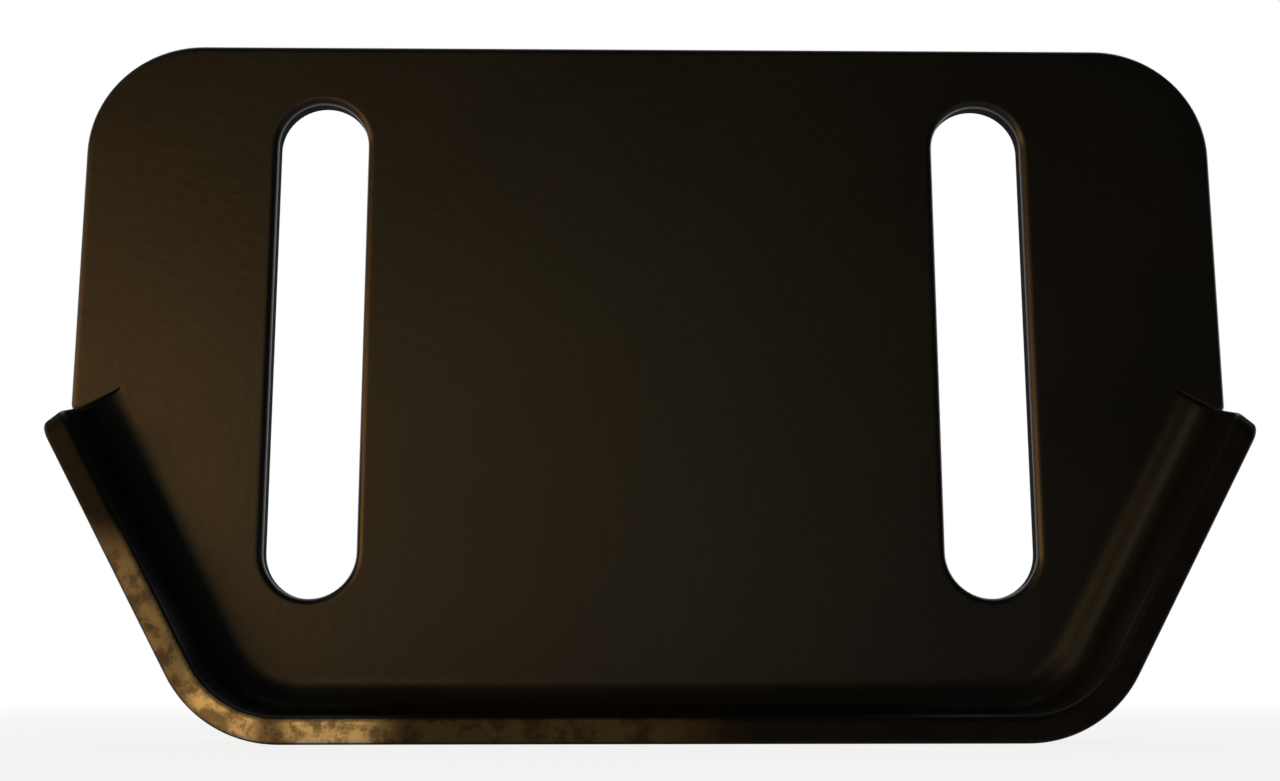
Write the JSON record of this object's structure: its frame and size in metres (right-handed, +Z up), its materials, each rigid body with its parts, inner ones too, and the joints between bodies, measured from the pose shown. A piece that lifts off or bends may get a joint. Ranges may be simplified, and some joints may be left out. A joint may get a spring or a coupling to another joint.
{
  "type": "snow blower skid shoe",
  "caption": "Folded steel skid shoe: a flat plate with upright bolt slots and a forward flange that forms the sole and a ramp at each end, to set how high a snow blower's scraper rides.",
  "frame": {"origin": "midway between the two bolt slots, on the mounting face", "axes": "+X along the sole, to the right as seen from the open side; +Y out of the mounting face, into the auger housing; +Z up, away from the sole"},
  "size_m": [0.1202, 0.0135, 0.0732],
  "materials": {
    "black_paint": "semi-gloss black paint on steel"
  },
  "bodies": {
    "root": {"skid_shoe": "black_paint"}
  },
  "joints": []
}
